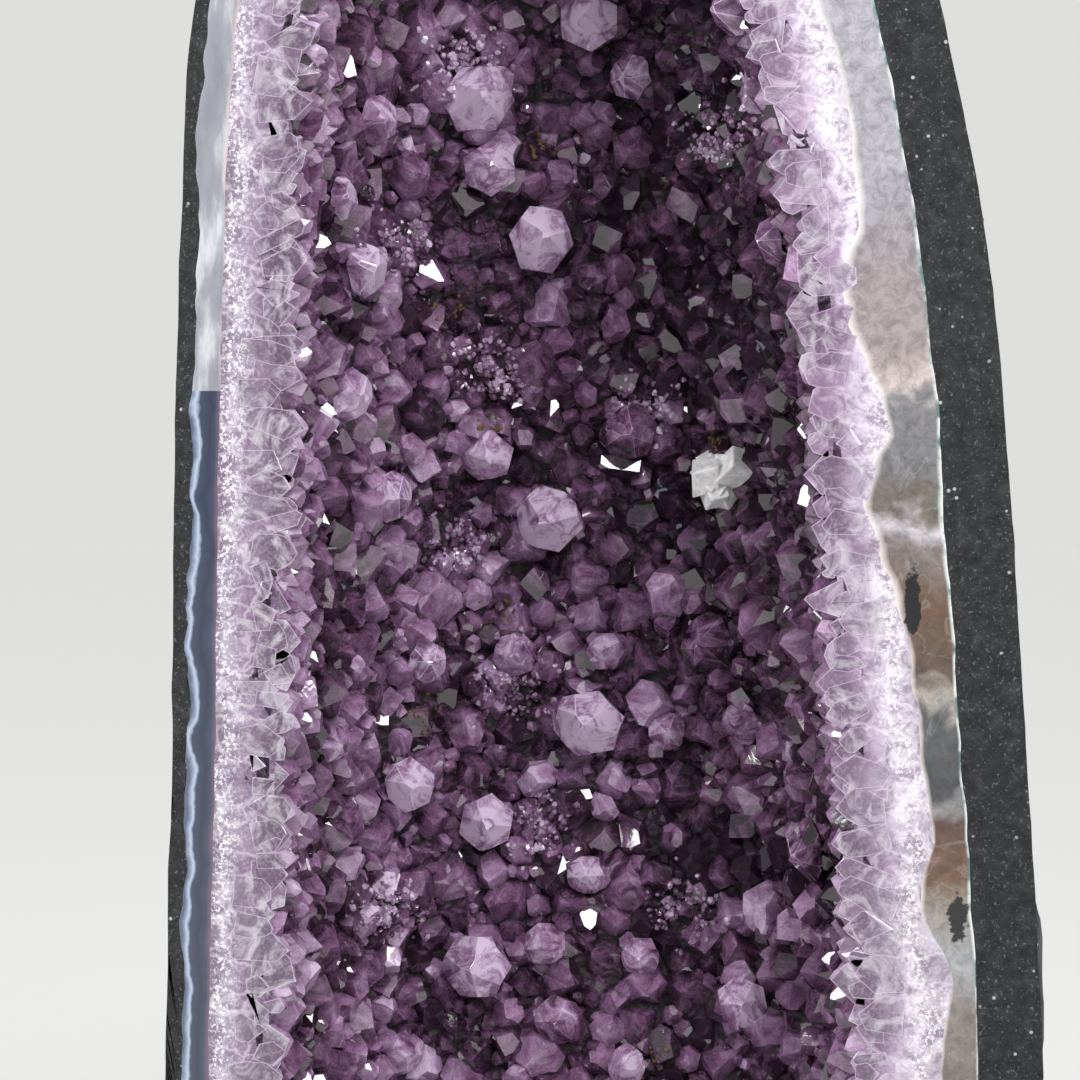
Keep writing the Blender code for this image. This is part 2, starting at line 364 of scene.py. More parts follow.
def outward_of(point):
    """The way out of the cavity at a point near the sawn face, along the face."""
    return (point - cavity_middle(point.y, point.z)).normalized()


print("distances across the layers are ready")

# %% [markdown]
# ## Wandering boundaries
#
# No boundary in the real stone is smooth. The rind and the agate meet in small scallops. The agate bulges
# far into the quartz on the right, in round lobes. We move the points on each boundary in and out along the
# face by one shared amount, so that neighbours always follow each other.

# %% Move the boundaries
LOBES = (
    # height up the stone, how far out the agate's inner side moves there: less than 0 is a lobe
    (20, -1), (85, 0), (108, 3), (127, 6), (143, -1), (160, 3), (178, 2), (198, 1), (214, -1), (228, -5),
    (238, -8), (247, -6), (254, -1), (262, -2), (270, -5), (281, -9), (293, -8), (303, -2), (318, -1),
    (336, 0), (360, -3), (380, 1), (402, -3), (420, 0), (440, -2),
)


def lobe_shift(height):
    """The lobes' sideways shift on the right at some height, read smoothly off the list."""
    z = height / MM
    if not LOBES[0][0] < z < LOBES[-1][0]:
        return 0.0
    k = next(i for i in range(len(LOBES) - 1) if LOBES[i + 1][0] >= z)
    (z0, a), (z1, b) = LOBES[k], LOBES[k + 1]
    t = (z - z0) / (z1 - z0)
    return (a + (b - a) * t * t * (3 - 2 * t)) * MM


def wander(point, size, seed):
    """A smooth random number, about -1 to 1, that changes over that distance."""
    return noise.noise(point / size + Vector((seed, 0, 0)))


def rind_inside_shift(point):
    """How far the line between the rind and the agate moves: in small scallops, most on the left."""
    fine = wander(point, 5 * MM, 3) * 1.0 + wander(point, 14 * MM, 4) * 1.6
    left = min(1.0, max(0.0, (20 * MM - point.x) / (60 * MM)))
    return fine * (0.35 + 0.65 * left) * MM


def agate_inside_shift(point):
    """How far the line between the agate and the quartz moves: a little, and in lobes on the right."""
    fine = (wander(point, 9 * MM, 8) * 0.7 + wander(point, 3 * MM, 9) * 0.25) * MM
    right = min(1.0, max(0.0, (point.x - 20 * MM) / (40 * MM)))
    return fine * (0.5 + right) + lobe_shift(point.z) * right


FADE_DEPTH = 45 * MM


def face_weight(point):
    """1 at the sawn face, fading to 0 a few centimetres behind it."""
    return max(0.0, 1 - (point.y - FACE_Y) / FADE_DEPTH) ** 2


def move_boundaries(source, outer, inner, outer_shift, inner_shift, proud):
    """Moves a layer's outer and inner sides by their own shifts, and its sawn face forwards a little."""
    band = source.verts.layers.float.new("band")
    for vert in source.verts:
        b = across(vert.co, outer, inner)
        vert[band] = b
        behind = vert.co.y - FACE_Y
        shift = outer_shift(vert.co) * (1 - b) + inner_shift(vert.co) * b
        vert.co += outward_of(vert.co) * shift * face_weight(vert.co)
        vert.co.y -= proud * max(0.0, 1 - behind / (8 * MM))


# Each outer layer reaches a little under the next one, so that no gap shows between them.
UNDERLAP = 1.4 * MM
AGATE_PROUD, QUARTZ_PROUD = 0.02 * MM, 0.04 * MM
for vert in layers["basalt"].verts:
    inside = max(0.0, 1 - near_agate.find_nearest(vert.co)[3] / (3.5 * MM))
    shift = rind_inside_shift(vert.co) - UNDERLAP
    vert.co += outward_of(vert.co) * shift * face_weight(vert.co) * inside
move_boundaries(
    layers["agate"], near_basalt, near_quartz, rind_inside_shift,
    lambda point: agate_inside_shift(point) - UNDERLAP, AGATE_PROUD,
)
move_boundaries(
    layers["quartz"], near_agate, near_druse, agate_inside_shift, lambda point: 0.0, QUARTZ_PROUD,
)
print("boundaries moved")

# %% [markdown]
# ## The wall that the crystals grow on
#
# Behind its smooth measured shape the cavity wall is lumpy. We take the inner side of the quartz layer,
# push it in and out with soft noise and keep it for two jobs: to show between the crystals as dark violet
# quartz, painted near black in its creases as painted shade of the gaps, and to say where each crystal
# stands and which way it points.

# %% Shape the wall
def lines_cavity(face):
    """Whether a face of the quartz layer faces into the cavity."""
    centre = face.calc_center_median()
    return face.normal.dot(centre - cavity_middle(FACE_Y, centre.z)) < 0


INNER_SIDE = 0.9
quartz = layers["quartz"]
quartz.normal_update()
band = quartz.verts.layers.float["band"]
for vert in quartz.verts:
    if vert[band] > INNER_SIDE:
        lumps = wander(vert.co, 26 * MM, 21) * 2.2 + wander(vert.co, 11 * MM, 22) * 1.2
        vert.co += vert.normal * lumps * MM * min(1.0, (vert.co.y - FACE_Y) / (12 * MM))
quartz.normal_update()
wall_faces = [
    face for face in quartz.faces
    if min(v[band] for v in face.verts) > INNER_SIDE and lines_cavity(face)
    and not all(v.co.y < FACE_Y + 0.5 * MM for v in face.verts)
]
wall_area = sum(face.calc_area() for face in wall_faces)
print("cavity wall:", len(wall_faces), "faces,", round(wall_area * 1e4), "square centimetres")

# %% [markdown]
# ## One quartz crystal
#
# Quartz grows as a six-sided prism with a point of six faces. Three of the six usually grow larger than
# the others. A cone primitive with equal ends makes the prism, and six cuts make the point: the cuts are
# where a gem cutter would make them, so every crystal has true flat facets and no two are alike.

# %% Grow a crystal
POINT_SLOPE = math.radians(51.8)
CRYSTAL_LENGTH, CRYSTAL_SHAPES = 3.0, 60


def cut(source, place, normal):
    """Cuts away what lies beyond a plane and closes the cut. Gives the new face, if there is one."""
    bmesh.ops.bisect_plane(
        source, geom=source.verts[:] + source.edges[:] + source.faces[:], dist=1e-7,
        plane_co=place, plane_no=normal, clear_outer=True,
    )
    open_edges = [e for e in source.edges if e.is_boundary]
    if open_edges:
        return bmesh.ops.edgeloop_fill(source, edges=open_edges)["faces"]
    return []


def grow_crystal(draw):
    """A crystal one unit in radius, with its tip near the origin and its root below."""
    source = bmesh.new()
    bmesh.ops.create_cone(
        source, cap_ends=True, segments=6, radius1=1, radius2=draw.uniform(0.9, 1), depth=CRYSTAL_LENGTH,
    )
    bmesh.ops.translate(source, verts=source.verts, vec=(0, 0, -CRYSTAL_LENGTH / 2))
    bmesh.ops.scale(source, verts=source.verts, vec=(1, draw.uniform(0.72, 1), 1))
    for side in range(6):
        turn = math.radians(30 + 60 * side + draw.uniform(-4, 4))
        slope = POINT_SLOPE + math.radians(draw.uniform(-6, 4))
        normal = Vector((
            math.cos(turn) * math.sin(slope), math.sin(turn) * math.sin(slope), math.cos(slope)))
        back = draw.uniform(0.15, 0.5) if side % 2 else draw.uniform(0, 0.18)
        cut(source, Vector((0, 0, -back)), normal)
    return source


draw = random.Random(20)
crystal_shapes = []
for _ in range(CRYSTAL_SHAPES):
    crystal_shapes.append(mesh_from("crystal_shape", grow_crystal(draw)))
print("crystal shapes:", len(crystal_shapes), "faces in the first:", len(crystal_shapes[0].polygons))

# %% [markdown]
# ## Where the crystals stand
#
# Crystals that seed close together crowd each other out, so the survivors are spaced by their own size.
# We throw places at random on the wall, largest crystals first, and keep a place only if it isn't too
# close to one that is already taken. The small ones then fill what is left.

# %% Choose the places
def random_places(faces, count, draw):
    """Places spread evenly over the faces by area, each with the face's normal."""
    areas = [face.calc_area() for face in faces]
    found = []
    for face in draw.choices(faces, weights=areas, k=count):
        corners = [v.co for v in face.verts]
        shares = [-math.log(draw.random() + 1e-9) for _ in corners]
        place = sum((corner * share for corner, share in zip(corners, shares)), Vector()) / sum(shares)
        found.append((place, face.normal.copy()))
    return found


class Crowd:
    """Crystals by their place, to keep new ones from standing in the old."""

    CELL = 10 * MM

    def __init__(self):
        self.cells = {}

    def key(self, place):
        """The box of space that a place is in. A crystal can only touch those in the boxes round it."""
        return tuple(int(math.floor(c / self.CELL)) for c in place)

    def has_room(self, place, radius, closeness):
        """Whether a crystal fits here. Below a closeness of 1 neighbours may grow into each other."""
        boxes = itertools.product(*((c - 1, c, c + 1) for c in self.key(place)))
        return not any(
            (other - place).length < (radius + size) * closeness
            for box in boxes for other, size in self.cells.get(box, ())
        )

    def take(self, place, radius):
        self.cells.setdefault(self.key(place), []).append((place, radius))


crowd = Crowd()
for name in crystal_names:
    low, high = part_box(name)
    crowd.take((low + high) / 2, sorted(high - low)[1] / 2 * 0.9)
low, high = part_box("calcite_crystal")
crowd.take((low + high) / 2, 5 * MM)

draw = random.Random(31)
standing = []
SIZES = (
    # smallest and largest radius in mm, how many to try, how close together, and how high the tips stand,
    # in radii
    (6.6, 8.6, 900, 0.64, (0.9, 1.5)),
    (4.9, 6.6, 7000, 0.55, (0.9, 1.7)),
    (3.3, 4.9, 9000, 0.53, (1.0, 1.9)),
    (1.9, 3.3, 16000, 0.55, (1.1, 2.1)),
)
for smallest, largest, tries, closeness, rise in SIZES:
    kept = 0
    for place, normal in random_places(wall_faces, tries, draw):
        radius = draw.uniform(smallest, largest) * MM
        if crowd.has_room(place, radius, closeness):
            crowd.take(place, radius)
            standing.append((place, normal, radius, radius * draw.uniform(*rise)))
            kept += 1
    print("crystals of", smallest, "to", largest, "mm:", kept)

# %% [markdown]
# ## The druse
#
# Each place gets a crystal that stands off the wall, tipped a little at random. Its points carry numbers
# for the finish: how far they have grown from the agate, how high they stand, which the finish turns into
# painted shade low on each crystal, and a shade for the crystal, random and paler by the rim, with painted
# shade on the right and in the deep part of the cavity. Round the rim extra rows of crystals reach inwards.
# What would stick out past the sawn face is cut off there, on the rim at slightly different depths, so that
# no two cuts that overlap share a plane.

# %% Set one crystal
class Cluster:
    """Crystals gathered in one mesh, which takes them in batches because small meshes join faster."""

    BATCH = 120

    def __init__(self):
        self.whole, self.batch, self.waiting = self.empty(), self.empty(), 0

    @staticmethod
    def empty():
        """A bmesh with the numbers that the amethyst finish reads."""
        made = bmesh.new()
        made.verts.layers.float.new("growth")
        made.verts.layers.float.new("height")
        made.faces.layers.float.new("tone")
        made.faces.layers.float.new("sawn")
        made.faces.layers.float.new("edge")
        return made

    def add(self, source):
        pour(source, self.batch)
        self.waiting += 1
        if self.waiting == self.BATCH:
            self.flush()

    def flush(self):
        pour(self.batch, self.whole)
        self.batch, self.waiting = self.empty(), 0


BAND_WIDTH, TALL = 15 * MM, 10 * MM
DEEPEST_ROOT = 0.1 - CRYSTAL_LENGTH
OUTLINE_WIDTH = 0.22 * MM


def growth_at(point):
    """How far quartz at a point has grown from the agate: 1 at the wall, more beyond it."""
    return near_agate.find_nearest(point)[3] / BAND_WIDTH


def tone_with_painted_shade_at(place, draw):
    """A shade for a crystal: random and paler by the rim, with painted shade making it darker on the right
    and darkest there above the middle, where the cavity lies deepest.
    """
    deep_painted_shade = min(1, max(0, (place.x + 8 * MM) / (14 * MM))) * min(1, max(0, (place.z - 205 * MM) / (30 * MM)))
    right = min(1, max(0, (place.x + 5 * MM) / (30 * MM)))
    by_rim = max(0, 1 - (place.y - FACE_Y) / (28 * MM))
    # The terms for the deep part and the right side are painted shade, not the crystal's own colour.
    shade = draw.gauss(0.50, 0.22) - 0.23 * deep_painted_shade - 0.12 * right + 0.30 * by_rim
    return min(1, max(0, shade))


def mark(source, shade, draw):
    """Writes the numbers that the finishes read onto a crystal. Each facet differs a little."""
    growth, tone = source.verts.layers.float["growth"], source.faces.layers.float["tone"]
    height = source.verts.layers.float["height"]
    for vert in source.verts:
        vert[growth] = growth_at(vert.co)
        # Height off the quartz wall, which the amethyst finish turns into painted shade low on each
        # crystal.
        vert[height] = near_quartz.find_nearest(vert.co)[3] / TALL
    for face in source.faces:
        face[tone] = shade + draw.uniform(-0.17, 0.17)


def outline(source, faces):
    """Insets flat faces and marks the ring round them as an edge, which the finish draws pale."""
    if faces:
        before = set(source.faces)
        bmesh.ops.inset_region(source, faces=faces, thickness=OUTLINE_WIDTH, use_even_offset=True)
        for face in source.faces:
            if face not in before:
                face[source.faces.layers.float["edge"]] = 1.0
                face[source.faces.layers.float["sawn"]] = 1.0


def set_crystal(cluster, draw, place, axis, radius, rise, root, saw_at, shade):
    """Adds a crystal to a cluster. Its tip stands rise above a place, and its root goes root below."""
    source = Cluster.empty()
    source.from_mesh(draw.choice(crystal_shapes))
    for vert in source.verts:
        if vert.co.z < DEEPEST_ROOT:
            vert.co.z = -(rise + root) / radius
    bmesh.ops.transform(source, verts=source.verts, matrix=(
        Matrix.Translation(place + axis * rise)
        @ axis.to_track_quat("Z", "Y").to_matrix().to_4x4()
        @ Matrix.Rotation(draw.uniform(0, math.tau), 4, "Z")
        @ Matrix.Scale(radius, 4)
    ))
    capped = []
    if min(v.co.y for v in source.verts) < saw_at:
        capped = cut(source, Vector((0, saw_at, 0)), OUT)
    mark(source, shade, draw)
    for face in capped:
        face[source.faces.layers.float["sawn"]] = 1.0
    outline(source, capped)
    cluster.add(source)


def tipped(axis, draw, most):
    """An axis leaned over at random."""
    lean = Vector([draw.gauss(0, 1) for _ in range(3)])
    return (axis + (lean - axis * lean.dot(axis)) * most).normalized()


# %% Fill the cavity and its rim
SMALL_RADIUS, ROOT = 3.4 * MM, 3 * MM
druse_large, druse_small, rim_crystals = Cluster(), Cluster(), Cluster()
for place, normal, radius, rise in standing:
    axis = tipped((normal * 0.8 + OUT * 0.35).normalized(), draw, 0.26)
    cluster = druse_large if radius > SMALL_RADIUS else druse_small
    set_crystal(
        cluster, draw, place, axis, radius, rise, ROOT, FACE_Y - QUARTZ_PROUD, tone_with_painted_shade_at(place, draw),
    )

rim_crowd = Crowd()
RIM_ROWS = (
    # how far behind the face in mm, how many to try, smallest and largest radius in mm, how close together
    (3, 3500, 3.4, 6.2, 0.42),
    (16, 900, 4.5, 7.0, 0.62),
    (6, 4500, 2.4, 4.2, 0.44),
    (16, 3000, 2.4, 4.0, 0.58),
)
for depth, tries, smallest, largest, closeness in RIM_ROWS:
    rim_faces = [face for face in wall_faces if face.calc_center_median().y < FACE_Y + depth * MM]
    for place, normal in random_places(rim_faces, tries, draw):
        radius = draw.uniform(smallest, largest) * MM
        if rim_crowd.has_room(place, radius, closeness):
            rim_crowd.take(place, radius)
            inward = -outward_of(place)
            axis = tipped((inward + OUT * draw.uniform(-0.10, 0.32)).normalized(), draw, 0.26)
            set_crystal(
                rim_crystals, draw, place, axis, radius, draw.uniform(1.5, 8.5) * MM,
                draw.uniform(4, 11) * MM, FACE_Y - QUARTZ_PROUD - draw.uniform(0.01, 0.15) * MM,
                min(1, tone_with_painted_shade_at(place, draw) + 0.05),
            )
for cluster in (druse_large, druse_small, rim_crystals):
    cluster.flush()
    print("crystal faces:", len(cluster.whole.faces))

# %% [markdown]
# ## Sugar and rust
#
# Here and there a late crust of tiny crystals covers the big ones like sugar, and flakes of iron rust sit
# in the cracks. Both lie on whatever is in front, so we drop them along lines from the front and keep them
# where they land.

# %% Scatter sugar and rust
landed = BVHTree.FromBMesh(druse_large.whole)
SUGAR = (
    # middle across and up, and how wide, in mm
    (-32, 270, 9), (-26, 189, 10), (-42, 225, 8), (-35, 350, 9), (-52, 303, 7), (8, 262, 8),
    (-20, 150, 8), (20, 128, 8), (-55, 130, 7), (30, 330, 8), (0, 45, 9), (-30, 410, 8),
)
RUST = (
    (-40, 288, 5), (5, 255, 5), (-32, 256, 5), (-50, 180, 4), (-30, 205, 5), (28, 252, 4), (-18, 330, 4),
    (12, 90, 5),
)
IN_FRONT_OF_STONE = -90


def dropped(spots, count, draw):
    """Places and normals where count things per spot land on the large points."""
    for x, z, wide in spots:
        for _ in range(count):
            across_by, up_by = draw.gauss(0, wide * 0.5), draw.gauss(0, wide * 0.5)
            start = Vector((x + across_by, IN_FRONT_OF_STONE, z + up_by)) * MM
            place, normal, _, _ = landed.ray_cast(start, -OUT)
            if place and place.y > FACE_Y + 6 * MM:
                yield place, (normal if normal.y < 0 else -normal)


sugar, rust = Cluster(), Cluster()
for place, normal in dropped(SUGAR, 170, draw):
    radius = draw.uniform(0.45, 1.15) * MM
    axis, rise = tipped(normal, draw, 0.5), radius * draw.uniform(0.9, 1.8)
    set_crystal(sugar, draw, place, axis, radius, rise, MM, FACE_Y, draw.uniform(0.3, 1))
for place, normal in dropped(RUST, 22, draw):
    radius = draw.uniform(0.35, 0.9) * MM
    set_crystal(rust, draw, place, tipped(normal, draw, 0.8), radius, radius, 0.5 * MM, FACE_Y, 0.5)
for cluster in (sugar, rust):
    cluster.flush()
    print("faces of sugar or rust:", len(cluster.whole.faces))

# %% [markdown]
# ## Amethyst
#
# Amethyst is clear quartz coloured violet, clouded by veils of tiny bubbles and cracks, and darker the
# further it grew. Real glass would be slow and, without the clouds inside, too clean. We give it a cloudy
# coloured body under a hard smooth skin that still lets a quarter of the light through, so that the facets
# flash and the edges glow. The clouds are noise at three sizes. The body is also painted darker at each
# crystal's foot and paler at its tip, as painted shade, and paler on bevelled edges, partly as frosted
# chips and partly as a painted highlight.

# %% Amethyst finish
DEEP = (0.028, 0.013, 0.026)
VIOLET = (0.190, 0.088, 0.182)
LILAC = (0.430, 0.262, 0.445)
PALE = (0.800, 0.640, 0.850)
MILK = (0.830, 0.770, 0.850)


def sawn_quartz(made, growth):
    """The colour of quartz on the sawn face, from salt-white grains by the agate to lilac by the cavity."""
    warp = made.noise(60, detail=3)
    grain = made.noise(1300, detail=2, rough=0.7)
    smoke = made.noise(170, detail=6, rough=0.7, distortion=1.0)
    axes = made.add("SeparateXYZ", made.add("TexCoord", out=3)).node.outputs
    whiter = made.math("ADD", made.math("MULTIPLY", axes[0], 11), made.math("MULTIPLY", axes[2], 4.2))
    whiter = made.math("SUBTRACT", whiter, 0.66, clamp=True)
    t = made.swayed(growth, warp, 0.7)
    dark = made.ramp(
        t, (0.08, (0.17, 0.14, 0.18)), (0.25, (0.36, 0.32, 0.39)), (0.50, (0.27, 0.205, 0.285)),
        (0.75, (0.185, 0.12, 0.20)), (0.95, (0.115, 0.062, 0.122)),
    )
    light = made.ramp(
        t, (0.08, (0.50, 0.45, 0.52)), (0.30, (0.66, 0.60, 0.68)), (0.55, (0.46, 0.38, 0.49)),
        (0.80, (0.30, 0.21, 0.32)), (0.97, (0.16, 0.09, 0.17)),
    )
    colour = made.mix(whiter, dark, light)
    colour = made.mix(made.ramp(smoke, (0.42, 0), (0.60, 0.7)), colour, (0.125, 0.075, 0.14))
    most_grains = made.ramp(t, (0.0, 0.1), (0.06, 0.3), (0.16, 1), (0.55, 0.12))
    grains = made.mix(made.ramp(grain, (0.50, 0), (0.60, 1)), (0, 0, 0), most_grains)
    return made.mix(grains, colour, (0.74, 0.70, 0.76)), grain


def amethyst(name, light, milky, clear=0.25, cloudy=1.45):
    """The amethyst finish. Light shifts the body paler, milky is how far from the agate the stone stays
    white, clear is the share of light let through, and cloudy is how strong the clouds are."""
    made = Finish(name, roughness=0.05, IOR=1.54, Transmission_Weight=clear, Specular_IOR_Level=1.0)
    tone, growth, height = (made.attribute(key) for key in ("tone", "growth", "height"))
    sawn, edge = made.attribute("sawn"), made.attribute("edge")
    clouds = made.noise(110, detail=7, rough=0.66, distortion=1.9)
    wisps = made.noise(260, detail=5, rough=0.6, distortion=3.0)
    wisps = made.ramp(wisps, (0.46, 0), (0.50, 0.16), (0.54, 0), (0.68, 0), (0.8, 0.3))
    veils = made.noise(34, detail=2)
    body = made.math("ADD", made.math("MULTIPLY_ADD", clouds, cloudy, light - 0.51 * cloudy), wisps)
    # Height off the wall makes each crystal darker at its foot and paler at its tip: painted shade between
    # the crystals. The edge term paints bevels paler: partly frosted chips, partly a painted highlight.
    height = made.math("MINIMUM", height, 1.1)
    for number, share, shift in (
        (tone, 0.85, -0.42), (veils, 0.5, -0.25), (edge, 0.4, 0), (height, 0.46, -0.26),
    ):
        body = made.math("ADD", body, made.math("MULTIPLY_ADD", number, share, shift))
    colour = made.ramp(body, (0.0, DEEP), (0.34, VIOLET), (0.68, LILAC), (1.0, PALE))
    near_root = made.math("MULTIPLY", made.math("SUBTRACT", milky, growth), 1.6, clamp=True)
    colour = made.mix(made.math("MULTIPLY", near_root, 0.60), colour, made.mix(clouds, LILAC, MILK))
    cut_colour, grain = sawn_quartz(made, growth)
    cut_colour = made.mix(made.math("MULTIPLY_ADD", tone, -0.9, 0.62, clamp=True), cut_colour, LILAC)
    cut_colour = made.mix(made.ramp(clouds, (0.46, 0), (0.66, 0.6)), cut_colour, MILK)
    colour = made.mix(sawn, colour, cut_colour)
    colour = made.mix(made.math("MULTIPLY", made.math("MULTIPLY", edge, sawn), 0.4), colour, PALE)
    made.set("Base Color", colour)
    made.set("Roughness", made.math("MULTIPLY_ADD", sawn, 0.22, 0.04))
    made.set("Normal", made.bump(made.noise(160, detail=3, rough=0.6, distortion=0.6), 0.2 * MM, 0.12))
    return made


druse_finish = amethyst("amethyst_small_crystals", 0.35, 1.15)
rim_finish = amethyst("amethyst_rim_crystals", 0.38, 1.65)
sugar_finish = amethyst("amethyst_sugar", 0.55, 1.0, clear=0.35)
rusty = Finish("iron_rust", roughness=0.7)
rusty.set("Base Color", rusty.ramp(
    rusty.noise(900),
    (0.35, (0.035, 0.022, 0.008)), (0.60, (0.16, 0.09, 0.025)), (0.75, (0.10, 0.095, 0.04)),
))
rusty.set("Normal", rusty.bump(rusty.noise(2500), 0.2 * MM, 0.8))
print("finishes:", [made.material.name for made in (druse_finish, rim_finish, sugar_finish, rusty)])

# %% The druse in place
for name, cluster, finish in (
    ("druse_large_points", druse_large, druse_finish),
    ("druse_small_points", druse_small, druse_finish),
    ("rim_points", rim_crystals, rim_finish),
    ("sugar_crust", sugar, sugar_finish),
    ("rust_flakes", rust, rusty),
):
    piece = object_from(name, cluster.whole, finish)
    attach(piece, "root")
    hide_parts("amethyst_druse")
    print(name, len(piece.data.polygons), "faces")

# %% [markdown]
# ## The large crystals
#
# Forty-one crystals outgrew their neighbours. Each has its own solid, so each piece starts from a copy of
# it. We merge its flat faces, chip a few of its edges with shallow cuts, as growth and knocks do, and
# bevel all edges a little, because an edge that catches the light is what makes a crystal look real. The
# bevels are also painted paler, partly as frosted chips and partly as a painted highlight.

# %% Refine the large crystals
SHADES = {
    # shades by crystal number, from 0 for dark to 1 for pale; the others get one at random
    17: 0.05, 21: 0.02, 31: 0.10, 20: 0.74, 25: 0.72, 9: 0.55, 13: 0.75, 15: 0.7, 16: 0.7, 18: 0.6, 34: 0.5,
    29: 0.8,
}
FIRST_DRAW = 500
large_finish = amethyst("amethyst_large_crystals", 0.54, 1.0, cloudy=2.6)
for number, name in enumerate(crystal_names):
    draw = random.Random(FIRST_DRAW + number)
    solid = merged_copy(name)
    bmesh.ops.dissolve_limit(solid, verts=solid.verts, edges=solid.edges, angle_limit=math.radians(3))
    low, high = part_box(name)
    middle = (low + high) / 2
    corners = [v.co.copy() for v in solid.verts]
    for corner in draw.sample(corners, min(4, len(corners))):
        away = (corner - middle).normalized()
        reach = max((c - middle).dot(away) for c in corners)
        cut(solid, middle + away * reach * draw.uniform(0.90, 0.97), tipped(away, draw, 0.2))
    edge = solid.faces.layers.float.new("edge")
    rounded = bmesh.ops.bevel(
        solid, geom=solid.edges[:], offset=draw.uniform(0.12, 0.25) * MM, offset_type="OFFSET",
        affect="EDGES", segments=1, profile=0.5, material=-1, clamp_overlap=True,
    )["faces"]
    # The bevels are marked as edges, which the amethyst finish paints paler: partly frosted chips, partly a
    # painted highlight.
    for face in rounded:
        face[edge] = 0.9
    bmesh.ops.recalc_face_normals(solid, faces=solid.faces)
    source = Cluster.empty()
    pour(solid, source)
    mark(source, SHADES.get(int(name[-2:]), draw.uniform(0.25, 0.75)), draw)
    piece = object_from(name + "_faceted", source, large_finish)
    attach(piece, "root")
    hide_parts(name)
print("large crystals refined:", len(crystal_names))

# %% [markdown]
# ## The sawn quartz band
#
# Next to the agate the quartz is a mass of tiny grains, white as sugar. Further in the grains give way to
# long crystals side by side, which take on a lilac cast. The saw shows them as pale outlines. The same
# growth number that shades the crystals turns the white to lilac here, and cells stretched across the
# band draw the outlines.

# %% Quartz finish
milky = Finish("milky_quartz", roughness=0.30, IOR=1.54)
growth, sawn = milky.attribute("growth"), milky.attribute("sawn")
swirl = milky.add("TexNoise", milky.place(), None, 130, 3, 0.6, out=1)
swirl = milky.add("VectorMath", swirl, (7 * MM, 7 * MM, 7 * MM), operation="MULTIPLY")
bent = milky.add("VectorMath", milky.place((0.6, 1, 1)), swirl, operation="ADD")
cells = milky.add("TexVoronoi", bent, None, 130, feature="DISTANCE_TO_EDGE")
front, grain = sawn_quartz(milky, growth)
front = milky.mix(milky.ramp(cells, (0.0, 0.30), (0.07, 0)), front, MILK)
nubs = milky.add("TexVoronoi", bent, None, 330)
# The wall between the crystals: dark violet quartz at the middle of each nub, near black at its rim as
# painted shade in the gaps and creases.
behind = milky.ramp(
    nubs, (0.10, (0.120, 0.058, 0.115)), (0.45, (0.030, 0.012, 0.028)), (0.75, (0.004, 0.001, 0.004)))
milky.set("Base Color", milky.mix(sawn, behind, front))
milky.set("Roughness", milky.math("MULTIPLY_ADD", sawn, -0.5, 0.8))
rough_wall = milky.math("MULTIPLY", nubs, milky.math("SUBTRACT", sawn, 1))
rough_wall = milky.bump(rough_wall, 3 * MM, 1.0)
milky.set("Normal", milky.bump(grain, 0.2 * MM, 0.5, under=rough_wall))
print("quartz finish:", len(milky.tree.nodes), "nodes")

# %% Numbers for the quartz finish
growth_layer = quartz.verts.layers.float.new("growth")
sawn_layer = quartz.faces.layers.float.new("sawn")
for vert in quartz.verts:
    vert[growth_layer] = growth_at(vert.co)
quartz.normal_update()
for face in quartz.faces:
    depth = face.calc_center_median().y - FACE_Y
    in_front = face.normal.y < -0.9 and depth < 0.5 * MM
    face[sawn_layer] = 1.0 if in_front else 0.85 * max(0.0, 1 - depth / (13 * MM))
print("sawn quartz faces:", sum(face[sawn_layer] == 1 for face in quartz.faces))

# %% [markdown]
# ## The agate band
#
# Agate is quartz too fine to see, laid down in sheets as thin as paper. On the left it is blue-black with a
# pale wavy sheet near the rind and a thin rose line where the quartz begins. Higher up, above a crack, it
# turns a clear grey. On the right it fills out into smoky lobes stained brown, with a white skin. The
# sheets follow the layer, so the finish reads how far across it a point is.

# %% Agate on the left
agate = Finish("agate", roughness=0.16, IOR=1.54, Coat_Weight=0.3, Coat_Roughness=0.08)
band = agate.attribute("band")
axes = agate.add("SeparateXYZ", agate.add("TexCoord", out=3)).node.outputs
wave = agate.noise(110, detail=3, rough=0.5)
waved, steady = agate.swayed(band, wave, 0.55), agate.swayed(band, wave, 0.12)
NAVY, STEEL, ICE, ROSE = (
    (0.026, 0.033, 0.058), (0.040, 0.052, 0.088), (0.190, 0.235, 0.330), (0.130, 0.080, 0.125))
blue = agate.ramp(
    waved, (0.06, (0.08, 0.10, 0.15)), (0.15, ICE), (0.22, (0.36, 0.42, 0.50)), (0.27, ICE), (0.31, STEEL),
    (0.55, NAVY), (0.74, STEEL),
)
blue = agate.mix(agate.ramp(steady, (0.72, 0), (0.84, 1)), blue, ROSE)
streaks = agate.noise(70, detail=5, rough=0.6, where=agate.place((1.6, 1, 0.45)))
clear = agate.ramp(
    streaks, (0.30, (0.17, 0.175, 0.20)), (0.50, (0.25, 0.26, 0.29)), (0.62, (0.48, 0.49, 0.52)),
    (0.75, (0.34, 0.35, 0.38)),
)
clear = agate.mix(agate.ramp(steady, (0.78, 0), (0.90, 0.9)), clear, (0.52, 0.36, 0.36))
CRACK_AT = 264.3 * MM
above = agate.math("GREATER_THAN", axes[2], CRACK_AT)
left = agate.mix(above, blue, clear)
print("agate on the left:", len(agate.tree.nodes), "nodes")

